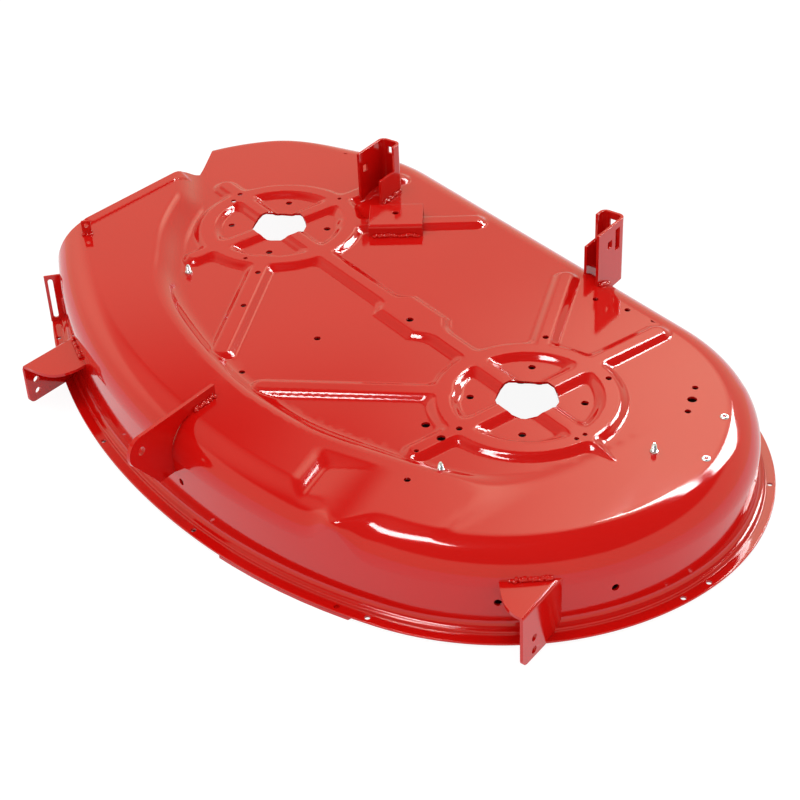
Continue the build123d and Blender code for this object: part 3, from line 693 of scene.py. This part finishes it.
def deck_mesh():
    plan, tris, order = top_triangles(wall_ring(-SHOULDER))
    x, y = plan[:, 0], plan[:, 1]
    z = deck_height(x, y)
    for hx, hy, r in all_holes():
        z = z - HOLE_DRAW * (np.abs(np.hypot(x - hx, y - hy) - r) < 0.02)
    top = np.column_stack([plan, z])
    top_normals = deck_normal(x, y)
    grid, inner_rows = skirt_grid(top[order])
    facing = grid_normals(grid)
    facing[0] = top_normals[order]
    inner_grid = grid - SHEET * facing
    inner_grid[-len(inner_rows):] = inner_rows
    # The grid's first row is the edge of the top, so its points are there already
    cols = grid.shape[1]
    below = np.arange(len(top), len(top) + (len(grid) - 1) * cols).reshape(-1, cols)
    index = np.vstack([order, below])
    outer = np.vstack([top, grid[1:].reshape(-1, 3)])
    normals = np.vstack([top_normals, facing[1:].reshape(-1, 3)])
    inner = np.vstack([top - SHEET * top_normals, inner_grid[1:].reshape(-1, 3)])
    faces = [tuple(t) for t in tris]
    opened = set()
    for hole in skirt_holes():
        points, patch, cells = hole_patch(grid, index, hole, len(outer))
        out = hole[4]
        faces += patch
        opened |= cells
        outer = np.vstack([outer, points])
        inner = np.vstack([inner, points - SHEET * out])
        normals = np.vstack([normals, np.tile(out, (len(points), 1))])
    for r in range(len(index) - 1):
        for c in range(cols - 1):
            if (r, c) not in opened:
                faces.append((index[r][c], index[r + 1][c], index[r + 1][c + 1], index[r][c + 1]))
    return closed_sheet(outer, inner, normals, faces)


def place(mesh, name, node, material):
    piece = bpy.data.objects.new(name, mesh)
    bpy.context.scene.collection.objects.link(piece)
    mesh.materials.clear()
    mesh.materials.append(material)
    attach(piece, "root")
    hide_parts(node)


def applied(holder, name):
    # Plain mesh of an object with its modifiers; the object itself goes
    bpy.context.view_layer.update()
    ready = holder.evaluated_get(bpy.context.evaluated_depsgraph_get())
    made = bpy.data.meshes.new_from_object(ready)
    guide = holder.data
    bpy.data.objects.remove(holder)
    bpy.data.meshes.remove(guide)
    made.name = name
    return made


def holder_of(mesh):
    holder = bpy.data.objects.new(mesh.name, mesh)
    bpy.context.scene.collection.objects.link(holder)
    return holder


def merged(mesh):
    # Working copy of a mesh with its doubled points joined
    work = bmesh.new()
    work.from_mesh(mesh)
    bmesh.ops.remove_doubles(work, verts=work.verts, dist=2e-6)
    return work


def clear_of_deck(point, gap=1.5):
    # True for a point in millimetres that does not lie on the deck
    x = np.array([point[0]])
    y = np.array([point[1]])
    out = wall_offset(x, y)[0]
    if out > 0:
        return out > gap and (out > FLANGE_OUT + 1 or point[2] > LEDGE_TOP + 2)
    return point[2] - deck_height(x, y)[0] > gap


def sharp_outward(edge):
    return len(edge.link_faces) == 2 and edge.calc_face_angle() > math.radians(35) and edge.is_convex


def fold_edge(work, height):
    # The long outer edge between a bracket's level top and its upright plate
    found = []
    for edge in work.edges:
        level = all(abs(v.co.z - height * MM) < 2e-4 for v in edge.verts)
        if level and sharp_outward(edge):
            upright = [abs(f.normal.z) for f in edge.link_faces]
            if max(upright) > 0.9 and min(upright) < 0.1:
                found.append(edge)
    return max(found, key=lambda e: e.calc_length())


def softened(name, width, fold_height=None, fold_width=0.0):
    # The bracket's own solid with its sheet edges rounded and its fold bent
    work = merged(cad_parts[name].data)
    bmesh.ops.dissolve_limit(work, angle_limit=math.radians(1.5), verts=work.verts, edges=work.edges)
    if fold_height is not None:
        fold = fold_edge(work, fold_height)
        bmesh.ops.bevel(work, geom=[fold], offset=fold_width * MM, segments=6, profile=0.5, affect="EDGES")
    edges = [
        e for e in work.edges
        if sharp_outward(e) and all(clear_of_deck(v.co / MM) for v in e.verts)
    ]
    bmesh.ops.bevel(
        work, geom=edges, offset=width * MM, segments=3, profile=0.5, affect="EDGES", clamp_overlap=True
    )
    mesh = bpy.data.meshes.new(name + "_edges")
    work.to_mesh(mesh)
    work.free()
    mesh.polygons.foreach_set("use_smooth", [True] * len(mesh.polygons))
    mesh.set_sharp_from_angle(angle=math.radians(34))
    # Large flat faces stay flat and the rounded edges take the shading
    holder = holder_of(mesh)
    even = holder.modifiers.new("even", "WEIGHTED_NORMAL")
    even.keep_sharp = True
    even.weight = 100
    return applied(holder, name + "_soft")


def lathe(name, spots, profile, steps, hollow=False):
    # Rings of (radius, height) turned about an upright axis at each spot, capped unless hollow
    points = []
    faces = []
    for spot in spots:
        first = len(points)
        for radius, height in profile:
            for k in range(steps):
                x, y = polar(spot, radius, 360 * k / steps)
                points.append((x * MM, y * MM, height * MM))
        for r in range(len(profile) - 1):
            for k in range(steps):
                a = first + r * steps + k
                b = first + r * steps + (k + 1) % steps
                faces.append((a, b, b + steps, a + steps))
        last = first + (len(profile) - 1) * steps
        if hollow:
            for k in range(steps):
                turn = (k + 1) % steps
                faces.append((last + k, last + turn, first + turn, first + k))
        else:
            faces.append(tuple(first + k for k in reversed(range(steps))))
            faces.append(tuple(last + k for k in range(steps)))
    mesh = bpy.data.meshes.new(name)
    mesh.from_pydata(points, [], faces)
    mesh.polygons.foreach_set("use_smooth", [True] * len(mesh.polygons))
    mesh.set_sharp_from_angle(angle=math.radians(40))
    return mesh


def stud_profile():
    # Rings of a flat collar, then of a tapered thread
    collar_top = 3.0
    thread_top = 11.5
    thread_pitch = 0.95
    profile = [(4.9, 0.0), (5.0, 0.5), (5.0, 2.0), (4.6, 2.5), (3.5, 2.7)]
    height = collar_top
    while height < thread_top:
        core = 3.3 - 0.10 * (height - collar_top)
        profile += [(core - 0.35, height), (core + 0.25, height + 0.45)]
        height += thread_pitch
    return profile + [(2.0, 12.2), (1.5, 12.8)]


def islands(mesh):
    # Vertex places of each separate solid in a mesh, in an order that never changes
    work = merged(mesh)
    left = set(work.verts)
    groups = []
    while left:
        found = [left.pop()]
        for v in found:
            near = {e.other_vert(v) for e in v.link_edges} & left
            left -= near
            found += near
        groups.append(sorted(tuple(v.co) for v in found))
    work.free()
    return [np.array(group) for group in sorted(groups)]


def bead_lines(name):
    # The middle line of each bead of a weld, from its end with the lower x
    lines = []
    for spots in islands(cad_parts[name].data):
        middle = (spots.min(axis=0) + spots.max(axis=0)) / 2
        _, _, axes = np.linalg.svd(spots - spots.mean(axis=0), full_matrices=False)
        reach = (spots - middle) @ axes[0]
        lines.append(sorted(tuple(middle + axes[0] * far) for far in (reach.min(), reach.max())))
    return lines


def set_inputs(node, values):
    for name, value in values.items():
        node.inputs[name].default_value = value


def group_socket(tree, name, kind, direction, default=None):
    socket = tree.interface.new_socket(name=name, in_out=direction, socket_type=kind)
    if default is not None:
        socket.default_value = default


def bead_group():
    # Overlapping drops along a line, each a little different
    tree = bpy.data.node_groups.new("weld_drops", "GeometryNodeTree")
    group_socket(tree, "Geometry", "NodeSocketGeometry", "INPUT")
    group_socket(tree, "Spacing", "NodeSocketFloat", "INPUT", 0.0034)
    group_socket(tree, "Radius", "NodeSocketFloat", "INPUT", 0.0032)
    group_socket(tree, "Seed", "NodeSocketInt", "INPUT", 3)
    group_socket(tree, "Material", "NodeSocketMaterial", "INPUT")
    group_socket(tree, "Geometry", "NodeSocketGeometry", "OUTPUT")
    nodes = tree.nodes
    link = tree.links.new
    given = nodes.new("NodeGroupInput")
    result = nodes.new("NodeGroupOutput")
    curve = nodes.new("GeometryNodeMeshToCurve")
    spaced = nodes.new("GeometryNodeResampleCurve")
    spaced.mode = "LENGTH"
    drop = nodes.new("GeometryNodeMeshIcoSphere")
    drop.inputs["Subdivisions"].default_value = 3
    size = nodes.new("FunctionNodeRandomValue")
    size.data_type = "FLOAT_VECTOR"
    set_inputs(size, {"Min": (0.70, 0.70, 0.55), "Max": (1.25, 1.25, 1.15)})
    shift = nodes.new("FunctionNodeRandomValue")
    shift.data_type = "FLOAT_VECTOR"
    set_inputs(shift, {"Min": (-0.0008, -0.0008, -0.0005), "Max": (0.0008, 0.0008, 0.0005)})
    strewn = nodes.new("GeometryNodeSetPosition")
    drops = nodes.new("GeometryNodeInstanceOnPoints")
    solid = nodes.new("GeometryNodeRealizeInstances")
    smooth = nodes.new("GeometryNodeSetShadeSmooth")
    coat = nodes.new("GeometryNodeSetMaterial")
    link(given.outputs["Geometry"], curve.inputs["Mesh"])
    link(curve.outputs["Curve"], spaced.inputs["Curve"])
    link(given.outputs["Spacing"], spaced.inputs["Length"])
    link(given.outputs["Radius"], drop.inputs["Radius"])
    link(given.outputs["Seed"], size.inputs["Seed"])
    link(given.outputs["Seed"], shift.inputs["Seed"])
    link(spaced.outputs["Curve"], strewn.inputs["Geometry"])
    link(shift.outputs["Value"], strewn.inputs["Offset"])
    link(strewn.outputs["Geometry"], drops.inputs["Points"])
    link(drop.outputs["Mesh"], drops.inputs["Instance"])
    link(size.outputs["Value"], drops.inputs["Scale"])
    link(drops.outputs["Instances"], solid.inputs["Geometry"])
    link(solid.outputs["Geometry"], smooth.inputs["Geometry"])
    link(smooth.outputs["Geometry"], coat.inputs["Geometry"])
    link(given.outputs["Material"], coat.inputs["Material"])
    link(coat.outputs["Geometry"], result.inputs["Geometry"])
    return tree


def bead_mesh(name, group, material, seed):
    lines = bead_lines(name)
    guide = bpy.data.meshes.new(name + "_line")
    ends = [end for line in lines for end in line]
    guide.from_pydata(ends, [(2 * k, 2 * k + 1) for k in range(len(lines))], [])
    holder = holder_of(guide)
    made = holder.modifiers.new("drops", "NODES")
    made.node_group = group
    given = {"Seed": seed, "Material": material}
    for item in group.interface.items_tree:
        if item.in_out == "INPUT" and item.name in given:
            made[item.identifier] = given[item.name]
    return applied(holder, name + "_drops")


def surface_group():
    # Shared paint surface: slow tone drift and a fine orange peel height
    tree = bpy.data.node_groups.new("coat_surface", "ShaderNodeTree")
    group_socket(tree, "Tone scale", "NodeSocketFloat", "INPUT", 6.0)
    group_socket(tree, "Peel scale", "NodeSocketFloat", "INPUT", 260.0)
    group_socket(tree, "Tone", "NodeSocketFloat", "OUTPUT")
    group_socket(tree, "Height", "NodeSocketFloat", "OUTPUT")
    nodes = tree.nodes
    link = tree.links.new
    given = nodes.new("NodeGroupInput")
    result = nodes.new("NodeGroupOutput")
    place_in = nodes.new("ShaderNodeTexCoord")
    drift = nodes.new("ShaderNodeTexNoise")
    drift.inputs["Detail"].default_value = 3.0
    peel = nodes.new("ShaderNodeTexNoise")
    peel.inputs["Detail"].default_value = 2.0
    link(place_in.outputs["Object"], drift.inputs["Vector"])
    link(place_in.outputs["Object"], peel.inputs["Vector"])
    link(given.outputs["Tone scale"], drift.inputs["Scale"])
    link(given.outputs["Peel scale"], peel.inputs["Scale"])
    link(drift.outputs["Fac"], result.inputs["Tone"])
    link(peel.outputs["Fac"], result.inputs["Height"])
    return tree


def paint_material(name, surface, low, high, rough, metallic, peel):
    material = bpy.data.materials.new(name)
    material.use_nodes = True
    nodes = material.node_tree.nodes
    link = material.node_tree.links.new
    shader = nodes["Principled BSDF"]
    shared = nodes.new("ShaderNodeGroup")
    shared.node_tree = surface
    tone = nodes.new("ShaderNodeMix")
    tone.data_type = "RGBA"
    set_inputs(tone, {"A": (*low, 1), "B": (*high, 1)})
    spread = nodes.new("ShaderNodeMapRange")
    set_inputs(spread, {"From Min": 0.3, "From Max": 0.7, "To Min": rough[0], "To Max": rough[1]})
    bump = nodes.new("ShaderNodeBump")
    set_inputs(bump, {"Strength": peel, "Distance": 0.0003})
    link(shared.outputs["Tone"], tone.inputs["Factor"])
    link(tone.outputs["Result"], shader.inputs["Base Color"])
    link(shared.outputs["Tone"], spread.inputs["Value"])
    link(spread.outputs["Result"], shader.inputs["Roughness"])
    link(shared.outputs["Height"], bump.inputs["Height"])
    link(bump.outputs["Normal"], shader.inputs["Normal"])
    set_inputs(shader, {"Metallic": metallic, "IOR": 1.5})
    return material


def combined(nodes, link, a, b, operation):
    joined = nodes.new("ShaderNodeMath")
    joined.operation = operation
    link(a, joined.inputs[0])
    link(b, joined.inputs[1])
    return joined.outputs["Value"]


def seen_by_eye(nodes, link):
    # One where the camera sees a surface, straight, in a reflection or through glass
    path = nodes.new("ShaderNodeLightPath").outputs
    seen = combined(nodes, link, path["Is Camera Ray"], path["Is Glossy Ray"], "MAXIMUM")
    return combined(nodes, link, seen, path["Is Transmission Ray"], "MAXIMUM")


def disc_mask(nodes, link, place_in, centre, radius):
    # One inside a circle on the floor, nought outside
    away = nodes.new("ShaderNodeVectorMath")
    away.operation = "DISTANCE"
    away.inputs[1].default_value = (centre[0] * MM, centre[1] * MM, bare_bounds[0][2])
    inside = nodes.new("ShaderNodeMapRange")
    set_inputs(inside, {"From Min": radius * MM, "From Max": (radius - PAINTED_EDGE_FADE) * MM})
    link(place_in, away.inputs[0])
    link(away.outputs["Value"], inside.inputs["Value"])
    return inside.outputs["Result"]


def beyond_line(nodes, link, place_in, a, b):
    # One on the left of the line from a to b: a disc so large that its edge is straight
    reach = 30000.0
    run = np.subtract(b, a) / math.dist(a, b)
    centre = (a[0] - run[1] * reach, a[1] + run[0] * reach)
    return disc_mask(nodes, link, place_in, centre, reach)


def painted_floor_light(nodes, link, place_in):
    # Painted light and shadow on the floor: one round the deck and in painted patches of light below the
    # spindle holes, nought in the painted shadow under the deck
    def both(a, b):
        return combined(nodes, link, a, b, "MINIMUM")

    def either(a, b):
        return combined(nodes, link, a, b, "MAXIMUM")

    def disc(centre, radius):
        return disc_mask(nodes, link, place_in, centre, radius)

    def under_arc(name):
        return disc(ARCS[name][0], ARCS[name][1] + PAINTED_SHADOW_PAST[name])

    def left_of(a, b):
        return beyond_line(nodes, link, place_in, a, b)

    join = polar(NOSE_C, NOSE_RADIUS, SWEEP_FROM)
    front = either(under_arc("nose"), left_of(join, (join[0], END_RADIUS)))
    painted_shadow = both(under_arc("sweep"), front)
    rear = END_RADIUS + PAINTED_SHADOW_PAST["rear"]
    painted_shadow = both(painted_shadow, left_of((PITCH, rear), (0, rear)))
    right_end = either(under_arc("end"), under_arc("front"))
    painted_shadow = both(painted_shadow, either(right_end, left_of((PITCH, 0), (PITCH, END_RADIUS))))
    rear_end = both(disc(SPINDLES[0], END_RADIUS), left_of(REAR_CUT, NOTCH))
    rear_end = either(rear_end, left_of((0, END_RADIUS), (0, 0)))
    tunnel_end = both(left_of(LIP_START, LIP_END), left_of((0, 0), (-PITCH, 0)))
    painted_shadow = both(painted_shadow, either(rear_end, tunnel_end))
    # Painted light patches below the spindle holes, cut out of the painted shadow
    through = either(*(disc(spot, PAINTED_LIGHT_RADIUS) for spot in PAINTED_LIGHT_SPOTS))
    dark = combined(nodes, link, painted_shadow, through, "SUBTRACT")
    bright = nodes.new("ShaderNodeMapRange")
    set_inputs(bright, {"To Min": 1.0, "To Max": 0.0})
    link(dark, bright.inputs["Value"])
    return bright.outputs["Result"]


def plain_floor(size, pale, shaded, white_level):
    # A pale floor for light that bounces; for the eye white, with a painted shadow under the deck and
    # painted light below the spindle holes; clear from below
    level = bare_bounds[0][2]
    mesh = bpy.data.meshes.new("studio_floor")
    corners = [(-size, -size, level), (size, -size, level), (size, size, level), (-size, size, level)]
    mesh.from_pydata(corners, [], [(0, 1, 2, 3)])
    floor = bpy.data.objects.new("studio_floor", mesh)
    bpy.context.scene.collection.objects.link(floor)
    material = bpy.data.materials.new("pale_floor")
    material.use_nodes = True
    nodes = material.node_tree.nodes
    link = material.node_tree.links.new
    nodes.remove(nodes["Principled BSDF"])
    coord = nodes.new("ShaderNodeTexCoord")
    noise = nodes.new("ShaderNodeTexNoise")
    noise.inputs["Scale"].default_value = 0.6
    tone = nodes.new("ShaderNodeMix")
    tone.data_type = "RGBA"
    set_inputs(tone, {"A": (pale[0], pale[0], pale[0], 1), "B": (pale[1], pale[1], pale[1], 1)})
    matt = nodes.new("ShaderNodeBsdfDiffuse")
    shade = nodes.new("ShaderNodeBsdfDiffuse")
    shade.inputs["Color"].default_value = (shaded, shaded, shaded, 1)
    white = nodes.new("ShaderNodeEmission")
    add = nodes.new("ShaderNodeAddShader")
    mix = nodes.new("ShaderNodeMixShader")
    lit = nodes.new("ShaderNodeMath")
    lit.operation = "MULTIPLY"
    lit.inputs[1].default_value = white_level
    # The floor's white glow follows the painted light and painted shadow mask
    link(painted_floor_light(nodes, link, coord.outputs["Object"]), lit.inputs[0])
    link(lit.outputs["Value"], white.inputs["Strength"])
    link(coord.outputs["Object"], noise.inputs["Vector"])
    link(noise.outputs["Fac"], tone.inputs["Factor"])
    link(tone.outputs["Result"], matt.inputs["Color"])
    link(shade.outputs["BSDF"], add.inputs[0])
    link(white.outputs["Emission"], add.inputs[1])
    link(seen_by_eye(nodes, link), mix.inputs["Fac"])
    link(matt.outputs["BSDF"], mix.inputs[1])
    link(add.outputs["Shader"], mix.inputs[2])
    face = nodes.new("ShaderNodeNewGeometry")
    clear = nodes.new("ShaderNodeBsdfTransparent")
    whole = nodes.new("ShaderNodeMixShader")
    link(face.outputs["Backfacing"], whole.inputs["Fac"])
    link(mix.outputs["Shader"], whole.inputs[1])
    link(clear.outputs["BSDF"], whole.inputs[2])
    link(whole.outputs["Shader"], nodes["Material Output"].inputs["Surface"])
    mesh.materials.append(material)


def direction(azimuth, elevation):
    az = math.radians(azimuth)
    el = math.radians(elevation)
    return Vector((math.cos(el) * math.cos(az), math.cos(el) * math.sin(az), math.sin(el)))


def aimed(way, roll):
    # Turn of a lamp or camera that lies in a direction and looks back along it
    return way.to_track_quat("Z", "Y").to_matrix() @ Matrix.Rotation(math.radians(roll), 3, "Z")


def studio_light(name, spot, azimuth, elevation, distance, size, radiance, roll=0.0, shine=True):
    # A soft box that looks at one spot of the deck, either seen in the gloss or lighting the colour
    way = direction(azimuth, elevation)
    data = bpy.data.lights.new(name, "AREA")
    data.shape = "RECTANGLE"
    data.size, data.size_y = size
    data.energy = radiance * math.pi * size[0] * size[1]
    light = bpy.data.objects.new(name, data)
    light.location = Vector((*spot, 0.0)) + way * distance
    light.rotation_euler = aimed(way, roll).to_euler()
    light.visible_camera = False
    light.visible_diffuse = not shine
    light.visible_glossy = shine
    bpy.context.scene.collection.objects.link(light)


def glow(nodes, link, way, spot, inner, outer, peak):
    # Soft brightness around one direction
    near = nodes.new("ShaderNodeVectorMath")
    near.operation = "DOT_PRODUCT"
    near.inputs[1].default_value = direction(*spot)
    fade = nodes.new("ShaderNodeMapRange")
    fade.interpolation_type = "SMOOTHSTEP"
    set_inputs(fade, {
        "From Min": math.cos(math.radians(outer)), "From Max": math.cos(math.radians(inner)),
        "To Max": peak,
    })
    link(way, near.inputs[0])
    link(near.outputs["Value"], fade.inputs["Value"])
    return fade.outputs["Result"]


def white_world(ambient, wall_colour, wall_top, wall_levels, halos):
    # White to the camera, a pale wall low down in reflections with soft halos on it, even light otherwise
    world = bpy.data.worlds.new("studio")
    bpy.context.scene.world = world
    world.use_nodes = True
    nodes = world.node_tree.nodes
    link = world.node_tree.links.new
    seen = nodes["Background"]
    set_inputs(seen, {"Color": (1, 1, 1, 1), "Strength": 1.0})
    around = nodes.new("ShaderNodeBackground")
    set_inputs(around, {"Color": (1.0, 0.98, 0.96, 1), "Strength": ambient})
    wall = nodes.new("ShaderNodeBackground")
    wall.inputs["Color"].default_value = (*wall_colour, 1)
    coord = nodes.new("ShaderNodeTexCoord")
    way = nodes.new("ShaderNodeSeparateXYZ")
    fade = nodes.new("ShaderNodeMapRange")
    fade.interpolation_type = "SMOOTHSTEP"
    set_inputs(fade, {"From Min": wall_top[0], "From Max": wall_top[1]})
    set_inputs(fade, {"To Min": wall_levels[0], "To Max": wall_levels[1]})
    path = nodes.new("ShaderNodeLightPath")
    mix = nodes.new("ShaderNodeMixShader")
    last = nodes.new("ShaderNodeMixShader")
    link(coord.outputs["Object"], way.inputs["Vector"])
    link(way.outputs["Z"], fade.inputs["Value"])
    strength = fade.outputs["Result"]
    for spot, reach, peak in halos:
        halo = glow(nodes, link, coord.outputs["Object"], spot, 2, reach, peak)
        strength = combined(nodes, link, strength, halo, "ADD")
    link(strength, wall.inputs["Strength"])
    link(path.outputs["Is Glossy Ray"], mix.inputs["Fac"])
    link(around.outputs["Background"], mix.inputs[1])
    link(wall.outputs["Background"], mix.inputs[2])
    link(path.outputs["Is Camera Ray"], last.inputs["Fac"])
    link(mix.outputs["Shader"], last.inputs[1])
    link(seen.outputs["Background"], last.inputs[2])
    link(last.outputs["Shader"], nodes["World Output"].inputs["Surface"])


def photo_camera(at, azimuth, elevation, roll, lens, shift):
    # The photograph's camera, at a place, seen from the deck in a direction
    data = bpy.data.cameras.new("camera")
    data.sensor_width = 36.0
    data.lens = lens
    data.shift_x, data.shift_y = shift
    camera = bpy.data.objects.new("camera", data)
    turn = aimed(direction(azimuth, elevation), roll)
    camera.matrix_world = Matrix.Translation(at) @ turn.to_4x4()
    bpy.context.scene.collection.objects.link(camera)
    bpy.context.scene.camera = camera


surface = surface_group()
red_coat = paint_material(
    "red_coat_paint", surface, low=(0.55, 0.0040, 0.0028), high=(0.60, 0.0048, 0.0034),
    rough=(0.07, 0.10), metallic=0.0, peel=0.05,
)
zinc = paint_material(
    "zinc_plate", surface, low=(0.62, 0.65, 0.74), high=(0.72, 0.75, 0.84),
    rough=(0.22, 0.34), metallic=1.0, peel=0.10,
)

place(deck_mesh(), "deck_skin", "deck_shell", red_coat)
for name in PLATES:
    place(softened(name, PLATE_EDGE), name + "_plate", name, red_coat)
for name, height in GAUGE_TOPS.items():
    place(softened(name, PLATE_EDGE, height, GAUGE_FOLD), name + "_plate", name, red_coat)
place(softened("rim_strip", STRIP_EDGE), "rim_strip_bar", "rim_strip", red_coat)
drops = bead_group()
welds = [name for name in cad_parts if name.endswith("_weld")]
for seed, name in enumerate(welds):
    place(bead_mesh(name, drops, red_coat, seed + 3), name + "_bead", name, red_coat)
place(lathe("stud_set", STUD_AT, stud_profile(), 24), "stud_set", "studs", zinc)
place(lathe("rivet_set", RIVET_AT, RIVET_RINGS, 28, hollow=True), "rivet_set", "rivets", zinc)

plain_floor(size=14.0, pale=(0.93, 0.95), shaded=0.14, white_level=0.93)
white_world(
    ambient=0.90, wall_colour=(1.0, 0.96, 0.70), wall_top=(0.545, 0.63), wall_levels=(1.0, 0.12),
    halos=[((134, 43), 13, 1.3), ((126, 39), 13, 1.3), ((195, 45), 34, 0.6)],
)
studio_light(
    "top_fill", spot=(0.27, -0.06), azimuth=-100, elevation=82, distance=4.0,
    size=(2.0, 2.0), radiance=3.0, shine=False,
)
studio_light(
    "key_overhead", spot=(0.66, -0.265), azimuth=-113, elevation=71.5, distance=3.0,
    size=(0.52, 1.1), radiance=24.0,
)
studio_light(
    "rear_side", spot=(0.787, 0.05), azimuth=119, elevation=47.5, distance=3.0,
    size=(1.36, 0.24), radiance=26.0, roll=-20,
)
studio_light(
    "far_side", spot=(0.787, 0.05), azimuth=106, elevation=36.5, distance=3.0,
    size=(1.0, 0.70), radiance=26.0,
)
photo_camera(
    at=(1.8235, -1.0810, 1.2161), azimuth=-35.074, elevation=33.661, roll=-2.799,
    lens=76.476, shift=(0.0018, -0.0846),
)
bpy.context.scene.view_settings.view_transform = "Standard"
